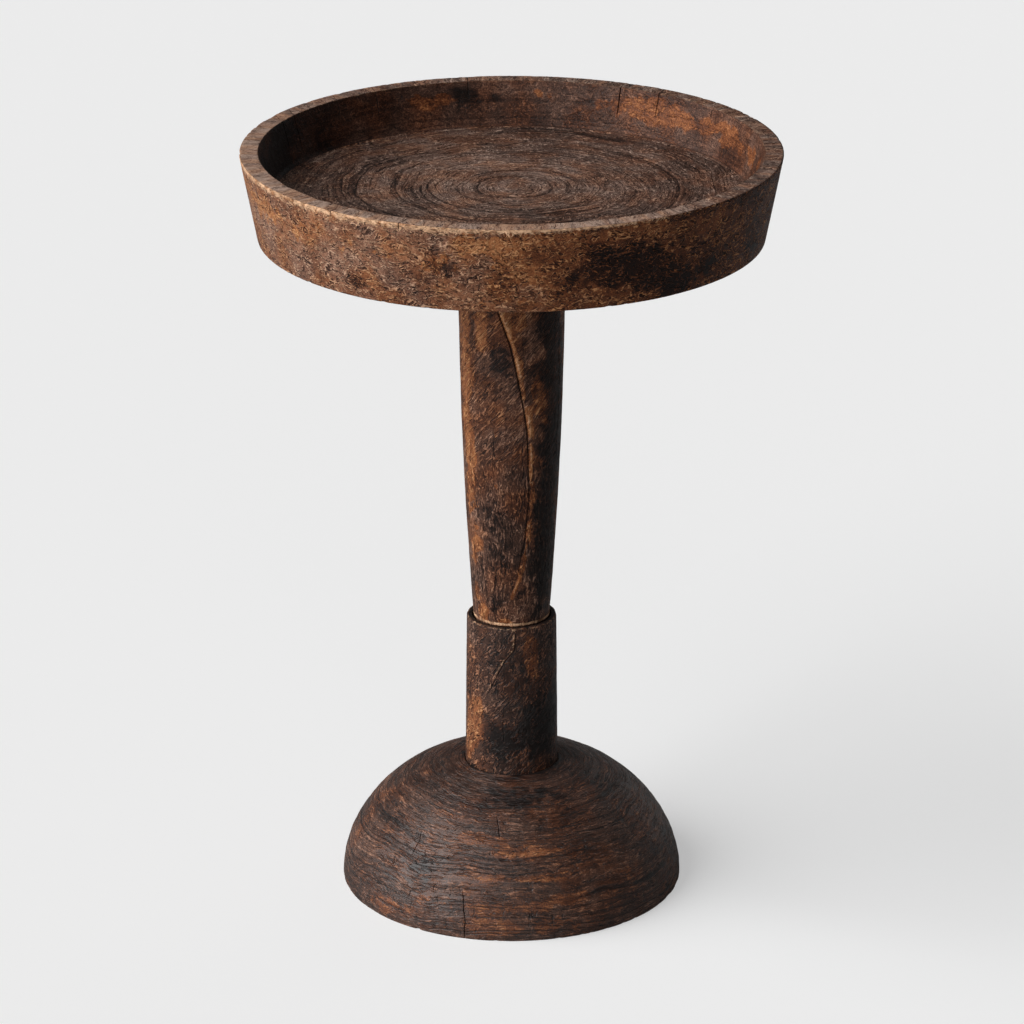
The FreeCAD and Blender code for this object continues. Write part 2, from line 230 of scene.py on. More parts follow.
class Turned:
    """A turned piece as a grid of points: one row per point of the section, one column per angle."""

    def __init__(self, section, columns, checks=()):
        self.checks = checks
        self.columns = self.spread(columns)
        rows, count = len(section.points), len(self.columns)
        run = np.gradient(section.points, axis=0)
        run /= np.linalg.norm(run, axis=1, keepdims=True) + 1e-12
        self.normal_radius = run[:, 1:]
        self.normal_height = -run[:, :1]
        self.along = np.repeat(section.along[:, None], count, 1)
        self.radius = np.repeat(section.points[:, :1], count, 1)
        self.height = np.repeat(section.points[:, 1:], count, 1)
        self.angle = np.repeat(self.columns[None, :], rows, 0)
        self.groove = np.zeros((rows, count))
        self.sink = np.zeros((rows, count))
        self.masks = {"crack": np.zeros((rows, count))}
        for check in checks:
            self.split(check)
        self.flow = self.along.copy()
        self.girth = self.radius.copy()
        self.stretch = np.ones((rows, count))

    def spread(self, count):
        """Even columns, with seven close ones at each check in place of those that stand near it."""
        even = np.linspace(-180, 180, count, endpoint=False)
        close = []
        for check in self.checks:
            middle = middle_angle(check.path)
            reach = check.width * CLOSE_COLUMNS
            even = even[np.abs(even - middle) > reach]
            close += [middle + reach * k / 3 for k in range(-3, 4)]
        return np.sort(np.concatenate([even, close]))

    def split(self, check):
        """Bend the columns along a check's path and cut its groove."""
        path = np.array(sorted(check.path), float)
        off = np.interp(self.along, path[:, 0], path[:, 1]) - middle_angle(path)
        gap = self.columns[None, :] - middle_angle(path)
        room = SWING_ROOM * np.abs(off).max() + BEND_REACH * check.width
        self.angle = self.angle + off * np.exp(-((gap / room) ** 2))
        low, high = path[0, 0], path[-1, 0]
        fade = (high - low) * END_FADE
        opens = smooth_step(low - 0.5, low + fade, self.along)
        closes = smooth_step(-high - 0.5, fade - high, -self.along)
        shape = np.clip(1 - np.abs(gap) / (check.width * GROOVE_REACH), 0, 1) * (opens * closes)
        stain = np.clip(shape * STAIN_FILL, 0, 1) * check.stain
        self.groove = np.maximum(self.groove, shape * check.depth)
        self.masks["crack"] = np.maximum(self.masks["crack"], stain)

    def grid(self):
        """Points of the plain surface, in mm."""
        turn = np.radians(self.angle)
        return np.stack([self.radius * np.sin(turn), -self.radius * np.cos(turn), self.height], -1)

    def carve(self, depth):
        """Cut the surface back by a depth in mm, square to it. A depth below 0 adds wood."""
        self.sink = self.sink + depth

    def wobble(self, amount, seed, outward=True):
        """Make the piece uneven, as one that was turned by hand and has moved while it dried."""
        points = self.grid()
        swing = 0.6 * layered(points, 90.0, seed, 2) + 0.4 * layered(points, 13.0, seed + 7, 2)
        self.carve(amount * (swing - 0.5) * 2 if outward else amount * swing)

    def chip(self, at, reach, depth, size, share, seed):
        """Take small bites out of an edge, and return how near each point lies to it."""
        near = bell(self.along, at, reach)
        bite = smooth_step(1 - share, 1.15 - share, layered(self.grid(), size, seed, 2))
        self.carve(depth * near * bite)
        return near

    def patches(self, *spots):
        """Soft blotches at (angle, height, half width in degrees, half height in mm, strength)."""
        total = np.zeros_like(self.angle)
        for angle, height, wide, high, strength in spots:
            off = (self.angle - angle + 180) % 360 - 180
            total += strength * bell(off, 0, wide) * bell(self.height, height, high)
        return total

    def beside(self, course):
        """Degrees by which each point lies to the right of a course of (height, angle) steps."""
        path = np.array(sorted(course))
        return self.angle - np.interp(self.height, path[:, 0], path[:, 1])

    def facing(self, angle):
        """1 where the piece faces an angle, 0 square to it and -1 on its far side."""
        return np.cos(np.radians(self.angle - angle))

    def place(self, lean):
        """Where the grain stands at each point, in metres: across, across and along the section."""
        turn = np.radians(self.angle) + lean
        across = self.girth * self.stretch * MM
        return np.stack([across * np.sin(turn), -across * np.cos(turn), self.flow / self.stretch * MM], -1)

    def build(self, name, wood, lean=0.0):
        """Make the mesh object, with what its material reads stored at each point.

        The fibres are turned about the axis by the lean, in radians at each point.
        """
        cut = self.sink + self.groove
        radius = np.maximum(self.radius - self.normal_radius * cut, 0.0)
        height = np.maximum(self.height - self.normal_height * cut, 0.0)
        turn = np.radians(self.angle)
        points = np.stack([radius * np.sin(turn), -radius * np.cos(turn), height], -1) * MM
        rows, columns = turn.shape
        index = np.arange(rows * columns).reshape(rows, columns)
        after = np.roll(index, -1, axis=1)
        faces = np.stack([index[:-1], after[:-1], after[1:], index[1:]], -1).reshape(-1, 4)
        mesh = bpy.data.meshes.new(name)
        mesh.from_pydata(points.reshape(-1, 3).tolist(), [], faces.tolist())
        mesh.polygons.foreach_set("use_smooth", np.ones(len(faces), bool))
        for label, tilt in (("grain", 0.0), ("slant", lean)):
            attribute = mesh.attributes.new(label, "FLOAT_VECTOR", "POINT")
            attribute.data.foreach_set("vector", self.place(tilt).astype(np.float32).ravel())
        for label, mask in self.masks.items():
            values = np.broadcast_to(mask, turn.shape).astype(np.float32).ravel()
            mesh.attributes.new(label, "FLOAT", "POINT").data.foreach_set("value", values)
        weld(mesh)
        mesh.materials.append(wood)
        piece = bpy.data.objects.new(name, mesh)
        bpy.context.scene.collection.objects.link(piece)
        return piece


def weld(mesh):
    """Join the points that meet on the axis and turn all faces outwards."""
    work = bmesh.new()
    work.from_mesh(mesh)
    bmesh.ops.remove_doubles(work, verts=work.verts, dist=2e-6)
    bmesh.ops.recalc_face_normals(work, faces=work.faces)
    work.to_mesh(mesh)
    work.free()


class Shader:
    """A material's nodes, built from short calls."""

    def __init__(self, name):
        self.material = bpy.data.materials.new(name)
        self.material.use_nodes = True
        self.tree = self.material.node_tree
        self.tree.nodes.clear()

    def node(self, kind, inputs, **settings):
        """Add a node, set it up and feed its inputs."""
        node = self.tree.nodes.new(kind)
        for key, value in settings.items():
            setattr(node, key, value)
        for key, value in inputs.items():
            if isinstance(value, bpy.types.NodeSocket):
                self.tree.links.new(value, node.inputs[key])
            else:
                node.inputs[key].default_value = value
        return node

    def mask(self, name):
        """A number stored at each point of the mesh, or 0 where the piece has none."""
        return self.node("ShaderNodeAttribute", {}, attribute_name=name).outputs["Fac"]

    def place(self, name):
        """A place stored at each point of the mesh."""
        return self.node("ShaderNodeAttribute", {}, attribute_name=name).outputs["Vector"]

    def vector(self, operation, first, second):
        """One operation on two vectors."""
        return self.node("ShaderNodeVectorMath", {0: first, 1: second}, operation=operation).outputs[0]

    def noise(self, place, scale=1.0, detail=3.0, rough=0.55, bend=0.0, output="Fac"):
        """Noise from 0 to 1."""
        inputs = {"Vector": place, "Scale": scale, "Detail": detail, "Roughness": rough, "Distortion": bend}
        return self.node("ShaderNodeTexNoise", inputs).outputs[output]

    def curl(self, place, scale, amount):
        """The place, pushed about by noise."""
        push = self.vector("SUBTRACT", self.noise(place, scale, 2.0, output="Color"), (0.5, 0.5, 0.5))
        return self.vector("ADD", place, self.vector("MULTIPLY", push, (amount, amount, amount)))

    def math(self, operation, first, second=0.0, clamp=False):
        """One operation on two numbers."""
        inputs = {0: first, 1: second}
        return self.node("ShaderNodeMath", inputs, operation=operation, use_clamp=clamp).outputs[0]

    def add(self, *terms, clamp=False):
        """Sum of numbers and of (number, weight) pairs."""
        total = 0.0
        for term in terms:
            if isinstance(term, tuple):
                term = self.math("MULTIPLY", *term)
            total = self.math("ADD", total, term)
        return self.math("ADD", total, 0.0, clamp=clamp)

    def span(self, value, low, high, start=0.0, end=1.0):
        """Even run from start to end while the value goes from low to high."""
        inputs = {0: value, 1: low, 2: high, 3: start, 4: end}
        return self.node("ShaderNodeMapRange", inputs, interpolation_type="SMOOTHSTEP").outputs[0]

    def mix(self, share, first, second):
        """Blend of two colours."""
        node = self.node("ShaderNodeMix", {0: share, 6: first, 7: second}, data_type="RGBA")
        return node.outputs[2]

    def ramp(self, value, stops):
        """Colour from a row of (place, colour)."""
        node = self.node("ShaderNodeValToRGB", {0: value})
        elements = node.color_ramp.elements
        while len(elements) < len(stops):
            elements.new(0.5)
        for element, (place, colour) in zip(elements, stops):
            element.position = place
            element.color = (*colour, 1)
        return node.outputs[0]

    def swing(self, value, reach=0.17):
        """A noise spread out to run from -1 to 1."""
        return self.span(value, 0.5 - reach, 0.5 + reach, -1.0, 1.0)

    def hairs(self, place, scale, width, share):
        """Thin broken lines, stretches of the contour of a noise, and the line that runs along each."""
        hills = self.noise(place, scale, 1.0, 0.5, 0.4)
        breaks = self.span(self.noise(place, scale * 0.8, 2.0), 0.62 - share, 0.68 - share)
        lines = []
        for level in (0.5, 0.5 - 2 * width):
            off = self.math("ABSOLUTE", self.math("SUBTRACT", hills, level))
            lines.append(self.math("MULTIPLY", self.span(off, 0.0, width, 1.0, 0.0), breaks))
        return lines

    def finish(self, colour, rough, relief, strength, depth, gloss):
        """Join colour, roughness and relief, whose depth is in metres, and return the material."""
        bump = self.node("ShaderNodeBump", {"Strength": strength, "Distance": depth, "Height": relief})
        inputs = {"Base Color": colour, "Roughness": rough, "Normal": bump.outputs[0]}
        surface = self.node("ShaderNodeBsdfPrincipled", inputs)
        surface.inputs["Specular IOR Level"].default_value = gloss
        self.node("ShaderNodeOutputMaterial", {"Surface": surface.outputs[0]})
        return self.material


# Colours of the wood from dark to light: rubbed and reddish, or waxed and brown
RUST = [
    (0.00, (0.0050, 0.0016, 0.0009)),
    (0.20, (0.0180, 0.0052, 0.0024)),
    (0.40, (0.0620, 0.0185, 0.0072)),
    (0.50, (0.1120, 0.0350, 0.0135)),
    (0.60, (0.1850, 0.0600, 0.0220)),
    (0.75, (0.3250, 0.1180, 0.0430)),
    (1.00, (0.5800, 0.2750, 0.1200)),
]
UMBER = [
    (0.00, (0.0050, 0.0029, 0.0023)),
    (0.20, (0.0165, 0.0090, 0.0068)),
    (0.40, (0.0520, 0.0290, 0.0215)),
    (0.50, (0.0900, 0.0510, 0.0380)),
    (0.60, (0.1480, 0.0860, 0.0640)),
    (0.75, (0.2700, 0.1680, 0.1280)),
    (1.00, (0.5200, 0.3600, 0.2800)),
]
SPLIT_WOOD = [(0.3, (0.10, 0.055, 0.028)), (0.7, (0.30, 0.18, 0.09))]
PALE = (0.78, 0.48, 0.29, 1)
BLACK = (0.003, 0.002, 0.0018, 1)
DUST = (0.20, 0.17, 0.15, 1)


def aged_wood(
    name, fibre, bands, hairs, light, warmth, stroke, cracked=0.02, gloss=0.30, satin=0.50, curl=0.010
):
    """Dark waxed wood: growth bands, blotches, short curly fibres, hair checks, worn edges and dust.

    fibre, bands and hairs say how close these stand per metre, across, across and along the section.
    light and warmth place the plain wood between dark and light, and between brown and red.
    stroke is the strength of the fibres, curl their waviness in metres, cracked the share of hair checks,
    gloss the strength of the shine and satin its roughness.
    """
    look = Shader(name)
    here = look.place("grain")
    bent = look.curl(here, 40.0, 0.014)
    curly = look.curl(look.curl(look.place("slant"), 55.0, curl), 210.0, curl * 0.3)
    strokes = look.vector("MULTIPLY", curly, fibre)
    streaks = look.vector("MULTIPLY", look.curl(here, 30.0, 0.003), bands)
    ring = look.noise(streaks, 1.0, 4.0, 0.6)
    blotch = look.noise(bent, 26.0, 6.0, 0.62)
    tint = look.noise(bent, 45.0, 6.0, 0.65)
    hue = look.noise(bent, 38.0, 1.0)
    mottle = look.noise(bent, 150.0, 4.0, 0.6)
    grit = look.noise(here, 900.0, 2.0, 0.6)
    # Light fibre strokes, each with a dark line along its lower side: pale fibres partly painted as a
    # highlight, and the dark line their painted shadow
    bold, bold_shadow = look.hairs(strokes, 1.0, 0.040, 0.13)
    fine, fine_shadow = look.hairs(strokes, 2.0, 0.060, 0.19)
    lively = look.math("SUBTRACT", 1.0, look.mask("calm"))
    fibres = look.math("MULTIPLY", look.math("MAXIMUM", bold, fine), lively)
    fibre_shadow_lines = look.math("MULTIPLY", look.math("MAXIMUM", bold_shadow, fine_shadow), lively)
    hair = look.hairs(look.vector("MULTIPLY", look.curl(here, 120.0, 0.002), hairs), 1.0, 0.03, cracked)[0]
    ringed = look.mask("ringed")
    lines = look.math("MULTIPLY", look.hairs(streaks, 0.3, 0.035, 0.16)[0], ringed)

    patch = look.span(look.add(look.mask("warm"), (look.swing(tint), 0.32)), 0.42, 0.66)
    warm = look.add(warmth, (look.swing(hue), 0.25), patch, (look.mask("cool"), -1.0), clamp=True)
    # Dark stains, and painted shade where a piece's mask marks a shaded side, a gap or a hollow
    patchy_soot_and_shade = look.add(look.mask("soot_and_shade"), (look.swing(blotch), -0.34), (look.swing(mottle), -0.16))
    soot_and_shade = look.span(patchy_soot_and_shade, 0.40, 0.86)
    tone = look.add(
        light,
        look.mask("tone"),
        (look.swing(blotch), 0.08),
        (look.swing(mottle), 0.045),
        (patch, 0.13),
        (soot_and_shade, -0.28),
        (look.math("MULTIPLY", look.swing(ring), ringed), 0.14),
        (fibres, stroke * 1.9),
        (fibre_shadow_lines, -stroke * 1.3),
        (lines, -0.36),
        (hair, -0.24),
        (look.swing(grit, 0.25), 0.13),
        clamp=True,
    )
    colour = look.mix(warm, look.ramp(tone, UMBER), look.ramp(tone, RUST))
    wear = look.mask("wear")
    ragged = look.noise(bent, 420.0, 4.0, 0.65)
    rubbed = look.add((wear, 0.75), (look.math("MULTIPLY", wear, fibres), 0.4), (ragged, 0.9))
    rub = look.span(rubbed, 0.74, 1.0)
    colour = look.mix(rub, colour, look.mix(look.span(mottle, 0.4, 0.7), PALE, look.ramp(tone, RUST)))
    grey = look.span(look.add((look.mask("dust"), 0.7), (look.noise(here, 520.0, 3.0), 0.8)), 0.70, 1.0)
    colour = look.mix(look.math("MULTIPLY", grey, 0.7), colour, DUST)
    colour = look.mix(look.mask("crack"), colour, BLACK)

    relief = look.add(
        (fibres, stroke * 2.5),
        (fibre_shadow_lines, -stroke * 1.8),
        (lines, -0.60),
        (hair, -0.70),
        (look.math("MULTIPLY", ring, ringed), 0.90),
        (mottle, 0.40),
        (grit, 0.30),
    )
    rough = look.add(look.span(mottle, 0.35, 0.65, satin - 0.07, satin + 0.07), (fibre_shadow_lines, 0.18), (rub, 0.10))
    return look.finish(colour, rough, relief, strength=1.0, depth=0.0009, gloss=gloss)


def split_wood(name):
    """Bare split wood of the wedges."""
    look = Shader(name)
    place = look.node("ShaderNodeTexCoord", {}).outputs["Object"]
    grain = look.noise(look.vector("MULTIPLY", place, (1, 1, 0.08)), 700.0, 4.0)
    colour = look.ramp(grain, SPLIT_WOOD)
    return look.finish(colour, 0.65, grain, strength=0.3, depth=0.0004, gloss=0.5)


def make_tray():
    """Dish with a leaning wall, a checked rim and a floor of uneven growth rings."""
    mortise_top = TRAY_UNDERSIDE + TENON_LENGTH + MORTISE_END_GAP
    mouth = TRAY_TENON_RADIUS + GLUE_GAP
    section = Section(
        Corner(0.0, mortise_top),
        Corner(mouth + TENON_FLARE, mortise_top, 0, 8.0),
        Corner(mouth, TRAY_UNDERSIDE, 0, 8.0),
        Corner(UNDERSIDE_RADIUS, TRAY_UNDERSIDE, 1.0, 6.0, "underside"),
        Corner(RIM_OUTER, TRAY_TOP, 1.5, 1.25, "rim_outer"),
        Corner(RIM_INNER, TRAY_TOP, 1.2, 0.9, "rim_inner"),
        Corner(WELL_RADIUS, TRAY_FLOOR, 5.0, 1.2, "floor_edge"),
        Corner(0.0, TRAY_FLOOR, 0, 0.85),
    )
    underside, rim_out, rim_in, floor_edge = (
        section.marks[name] for name in ("underside", "rim_outer", "rim_inner", "floor_edge")
    )

    def across(first, last, width, depth, over, down):
        """Check across the rim, which runs over its outer edge and down its inner side by so many mm."""
        path = [(rim_out - over, first), (rim_out, first), (rim_in, last), (rim_in + down, last)]
        return Check(path, width, depth)

    checks = (
        across(-39.8, -38.2, 0.11, 2.0, 5.0, 5.0),
        across(-23.4, -23.0, 0.08, 1.0, 7.0, -9.0),
        across(154.0, 153.3, 0.10, 1.6, 0.5, 24.0),
        across(144.0, 142.8, 0.08, 1.2, 0.5, 20.0),
        across(-170.1, -169.6, 0.08, 1.0, 0.5, 12.0),
        across(-117.0, -113.0, 0.10, 1.6, 0.5, 22.0),
        across(-122.6, -118.6, 0.10, 1.6, 0.5, 26.0),
        across(-136.8, -134.6, 0.09, 1.2, 0.5, 16.0),
        across(-147.3, -146.1, 0.09, 1.2, 0.5, 18.0),
        across(63.0, 62.2, 0.08, 1.0, 2.0, 6.0),
    )
    tray = Turned(section, 840, checks)
    tray.wobble(0.35, seed=11, outward=False)
    outer_edge = tray.chip(rim_out - 0.6, reach=1.5, depth=0.7, size=5.0, share=0.42, seed=21)
    inner_edge = tray.chip(rim_in, reach=1.2, depth=0.4, size=7.0, share=0.40, seed=23)
    tray.chip(underside, reach=1.4, depth=0.5, size=7.0, share=0.40, seed=25)

    on_floor = smooth_step(floor_edge - 1.0, floor_edge + 3.0, tray.along)
    on_rim = (tray.along > rim_out) & (tray.along < rim_in)
    on_wall = (tray.along > underside) & (tray.along <= rim_out)
    in_well = (tray.along >= rim_in) & (tray.along < floor_edge + 1)

    # Growth rings of the floor about a heart off the middle, with shakes along some of them
    level = tray.grid() * np.array([1, 1, 0])
    from_heart = np.hypot(level[..., 0] - 2.0, level[..., 1] - 16.0)
    ring = from_heart + (layered(level, 75.0, 31, 3) - 0.5) * 22 * smooth_step(0, 50, from_heart)
    shake = np.zeros_like(ring)
    for k, spacing in enumerate((6.7, 9.3, 14.9)):
        line = bell((ring + 3.7 * k) % spacing, spacing / 2, 0.40)
        lives = smooth_step(0.57, 0.64, layered(level, 34.0, 41 + k, 2)) * smooth_step(10, 45, from_heart)
        shake = np.maximum(shake, line * lives)
    shake = shake * on_floor
    waves = noise(np.stack([ring, ring * 0, tray.angle / 9], -1), 2.6, 51)
    tray.carve(shake * 0.6 + on_floor * 0.25 * waves)
    tray.flow = np.where(tray.along > floor_edge, floor_edge + WELL_RADIUS - ring, tray.along)

    # Saw marks across the rim
    across_rim = np.stack([np.radians(tray.angle) * RIM_OUTER / 2.6, tray.along / 9.0, tray.along * 0], -1)
    sawn = on_rim * layered(across_rim, 1.0, 57, 2)
    tray.carve(0.4 * sawn)
    tray.girth = np.where(on_rim, RIM_OUTER, tray.radius)
    tray.stretch = np.where(on_rim, 2.5, 1.0)

    # Wear and dust, and the sides painted lit and shaded
    # The side that the key light falls on: painted light in the tone of rim and wall, and the wear painted
    # brighter there
    painted_lit_side = smooth_step(-0.25, 0.65, tray.facing(-42))
    # The right side, turned from the key light: painted shade in the tone of wall and floor, a redder wall
    # and fainter wear there
    painted_shade_side = smooth_step(-0.35, 0.35, tray.facing(90))
    # The well's left inner wall, which faces from the key light, is painted dark as shade
    shaded_well_wall = smooth_step(0.2, 0.9, tray.facing(-90))
    # The worn band and outer edge are real wear, painted brighter on the lit side as a highlight and
    # fainter on the shaded right
    band = on_wall * np.exp(-(rim_out - tray.along) / 6.0)
    worn = outer_edge * (0.10 + 0.15 * painted_lit_side) + band * painted_lit_side * (1.0 - 0.45 * painted_shade_side)
    tray.masks["wear"] = np.clip(worn + inner_edge * 0.40, 0, 1)
    dusty = smooth_step(0.1, 0.6, tray.facing(110))
    tray.masks["dust"] = bell(tray.along, floor_edge + 1.5, 2.2) * (0.12 + 0.25 * dusty)

    # Warm patches, and dark patches of stain and of painted shade
    wall_warm = tray.patches(
        (-48, 556, 16, 18, 0.45), (-4, 566, 9, 9, 0.8), (3, 548, 10, 14, 0.5), (20, 572, 16, 7, 1.1),
        (42, 566, 12, 8, 0.8), (55, 558, 14, 16, 0.7), (-20, 552, 9, 12, 0.4), (-75, 560, 14, 20, 0.35),
        (72, 560, 10, 14, 0.6), (10, 522, 26, 5, 0.4), (150, 545, 40, 20, 0.4), (-140, 548, 30, 18, 0.45),
    )
    well_warm = tray.patches(
        (146, 566, 12, 9, 0.8), (112, 564, 24, 10, 0.7), (-160, 568, 8, 7, 0.7), (80, 560, 14, 12, 0.4),
        (170, 570, 8, 6, 0.5),
    )
    wall_soot = tray.patches(
        (21, 541, 11, 20, 1.1), (31, 545, 7, 16, 0.8), (-15, 546, 4, 12, 0.7), (40, 528, 9, 12, 0.7),
        (62, 530, 10, 10, 0.6), (-36, 528, 6, 6, 0.5), (-88, 545, 6, 30, 0.4),
    )
    # Dark patches inside the well: painted shade, deepest on its left inner wall, which faces from the key
    # light
    well_painted_shade = tray.patches(
        (-75, 560, 35, 30, 0.8), (-110, 560, 20, 25, 0.6), (-171, 568, 9, 9, 0.7), (135, 553, 30, 5, 0.3),
    )
    tray.masks["warm"] = np.where(in_well, well_warm, wall_warm * on_wall - 0.15 * on_rim - 0.3 * on_floor)
    tray.masks["soot_and_shade"] = np.clip(wall_soot * on_wall + well_painted_shade * in_well + shake * 0.8, 0, 1.2)

    # Plain colour of rim, wall, floor and well, with painted light on the lit side and painted shade on the
    # right, at the floor's edge and in the well
    # The cool mask makes the wood browner and greyer: a greyer wood with a painted sheen on floor and rim,
    # a painted sheen on the wall's lit side, and a redder painted shade on its right
    wall_cool = 0.15 * (1 - painted_shade_side) - 0.40 * painted_shade_side
    tray.masks["cool"] = 0.60 * on_floor + 0.60 * on_rim + 0.3 * in_well + on_wall * wall_cool
    tray.masks["calm"] = 0.65 * in_well + 0.2 * on_floor
    rim_tone = on_rim * (0.29 + 0.28 * painted_lit_side) - 0.44 * sawn
    wall_tone = on_wall * (0.11 * painted_lit_side - 0.18 * painted_shade_side)
    floor_tone = on_floor * (0.07 - 0.05 * painted_shade_side - 0.09 * smooth_step(50, 140, from_heart))
    well_tone = -(0.11 + 0.18 * shaded_well_wall) * in_well
    # The tray's underside and its mortise are painted darker, as shade under the tray
    tray.masks["tone"] = rim_tone + wall_tone + floor_tone + well_tone - 0.30 * (tray.along < underside)
    tray.masks["ringed"] = 0.10 * on_wall + 0.2 * in_well + 0.75 * on_floor
    wood = aged_wood(
        "tray_wood",
        fibre=(105, 105, 235),
        bands=(7, 7, 430),
        hairs=(250, 250, 40),
        light=0.55,
        warmth=0.78,
        stroke=0.25,
        cracked=-0.04,
        gloss=0.18,
    )
    return tray.build("tray_body", wood)


def make_column():
    """Tapered post with a long check that wanders down its front."""
    length = TRAY_UNDERSIDE - COLUMN_FOOT
    taper = COLUMN_TOP_RADIUS - COLUMN_FOOT_RADIUS
    swell = (length**2 + taper**2) / (2 * taper)
    low = -math.asin((length - 1.2) / swell)
    tenon_top = TRAY_UNDERSIDE + TENON_LENGTH
    tenon_end = FOOT_RECESS + TENON_SETBACK
    section = Section(
        Corner(0.0, tenon_end),
        Corner(FOOT_TENON_RADIUS + TENON_FLARE, tenon_end, 0, 7.0),
        Corner(FOOT_TENON_RADIUS, FOOT_RECESS + WEDGE_LENGTH, 0, 10.0),
        Corner(FOOT_TENON_RADIUS, COLUMN_FOOT, 0, 10.0),
        Corner(COLUMN_FOOT_RADIUS - 0.9, COLUMN_FOOT, 0, 2.0, "foot"),
        *bow((COLUMN_TOP_RADIUS - swell, TRAY_UNDERSIDE), swell, low, 0.0, 1.1),
        Corner(COLUMN_TOP_RADIUS, TRAY_UNDERSIDE, 0, 1.0, "top"),
        Corner(TRAY_TENON_RADIUS, TRAY_UNDERSIDE, 0, 6.0),
        Corner(TRAY_TENON_RADIUS + TENON_FLARE, tenon_top, 0, 6.0),
        Corner(0.0, tenon_top, 0, 8.0),
        flank=("foot", "top"),
    )
    foot, top = section.marks["foot"], section.marks["top"]
    course = [
        (515, -32.0), (490, -23.0), (466, -14.7), (441, -1.8), (421, 4.8), (405, 9.3), (389, 14.0),
        (373, 17.8), (357, 19.4), (330, 21.4), (317, 21.8), (285, 17.6), (252, 7.4), (231, -9.6),
    ]
    checks = (
        Check(section.up(*course), 0.75, 1.3, 0.8),
        Check(section.up((500, 130), (420, 138), (330, 133)), 0.7, 1.2),
        Check(section.up((300, -150), (250, -146), (215, -151)), 0.6, 1.0),
        Check(section.up((470, -95), (440, -92), (400, -94)), 0.5, 0.9),
        Check(section.up((450, 62), (400, 65), (340, 61)), 0.5, 0.9),
    )
    column = Turned(section, 400, checks)
    column.wobble(0.4, seed=61)
    column.chip(foot + 1.0, reach=1.4, depth=0.35, size=6.0, share=0.45, seed=71)
    flank = (column.along >= foot) & (column.along <= top)
    foot_line = bell(column.height, COLLAR_TOP + 1.6, 1.1) * flank
    # The band under the pale foot line is sunk a little and painted black, as shade in the gap at the
    # collar's rim
    gap_shade_band = smooth_step(COLLAR_TOP + 0.5, COLLAR_TOP - 1.0, column.height) * flank
    column.carve(0.2 * gap_shade_band)

    # Raised ridge and thin lip to the right of the long check, which fades in the lower half
    beside = column.beside(course)
    checked = smooth_step(225, 240, column.height) * flank
    upper = smooth_step(325, 380, column.height)
    frayed = smooth_step(0.32, 0.62, layered(column.grid(), 11.0, 63, 3))
    nicked = smooth_step(0.32, 0.52, layered(column.grid(), 4.5, 65, 2))
    ridge = bell(beside, 4.6, 4.6) * checked * frayed
    lip = bell(beside, 3.4, 1.7) * checked * nicked
    column.carve(-0.5 * bell(beside, 5.0, 4.0) * checked * upper - 0.35 * lip)
    column.masks["crack"] *= np.where(np.abs(beside) < 4, 0.35 + 0.65 * upper, 1.0)

    rusty = column.patches(
        (-66, 440, 18, 70, 0.75), (-58, 345, 16, 60, 0.7), (-34, 448, 9, 16, 1.3), (-55, 270, 18, 40, 0.45),
        (-44, 222, 14, 9, 0.95), (-8, 217, 14, 5, 0.6), (8, 470, 10, 22, 0.7), (38, 385, 12, 26, 0.75),
        (30, 410, 7, 22, 0.5), (-18, 345, 10, 36, 0.4), (120, 400, 25, 60, 0.5), (-140, 330, 25, 60, 0.5),
        (175, 260, 20, 30, 0.6), (-110, 480, 20, 30, 0.5),
    )
    # Dark patches: stains, with painted shade on the right side, turned from the key light, and at the back
    patchy_soot_and_shade = column.patches(
        (48, 455, 24, 50, 1.2), (64, 360, 24, 60, 1.0), (50, 270, 26, 60, 0.9), (-12, 425, 13, 14, 0.9),
        (-10, 375, 12, 14, 0.4), (-20, 270, 24, 50, 0.45), (12, 240, 16, 18, 0.6), (-24, 232, 11, 10, 0.9),
        (150, 320, 24, 50, 0.6), (-120, 250, 26, 40, 0.6),
    )
    light_spots = np.clip(rusty, 0, 1)
    column.masks["warm"] = np.clip(rusty + ridge + lip, 0, 1) * flank
    column.masks["cool"] = 0.22 * flank * (1 - smooth_step(270, 350, column.height)) * (1 - lip)
    column.masks["soot_and_shade"] = np.clip(patchy_soot_and_shade - ridge - lip + gap_shade_band, 0, 1.2) * flank
    flank_tone = flank * (0.03 * upper + 0.14 * light_spots)
    # The tenons and end faces, hidden in the joints, are painted darker as shade between the parts
    column.masks["tone"] = 0.16 * ridge * upper + 0.17 * lip + flank_tone - 0.2 * ~flank
    column.masks["ringed"] = 0.3 * flank
    worn = foot_line * 1.1 + ridge * 0.30 + lip * 0.22 + 0.26 * light_spots * upper
    column.masks["wear"] = np.clip(worn, 0, 1)
    wood = aged_wood(
        "column_wood",
        fibre=(230, 230, 55),
        bands=(330, 330, 10),
        hairs=(250, 250, 22),
        light=0.42,
        warmth=0.66,
        stroke=0.17,
        gloss=0.2,
        curl=0.005,
    )
    return column.build("column_shaft", wood, lean=-22.0 * np.maximum(column.height - 345, 0) * MM)


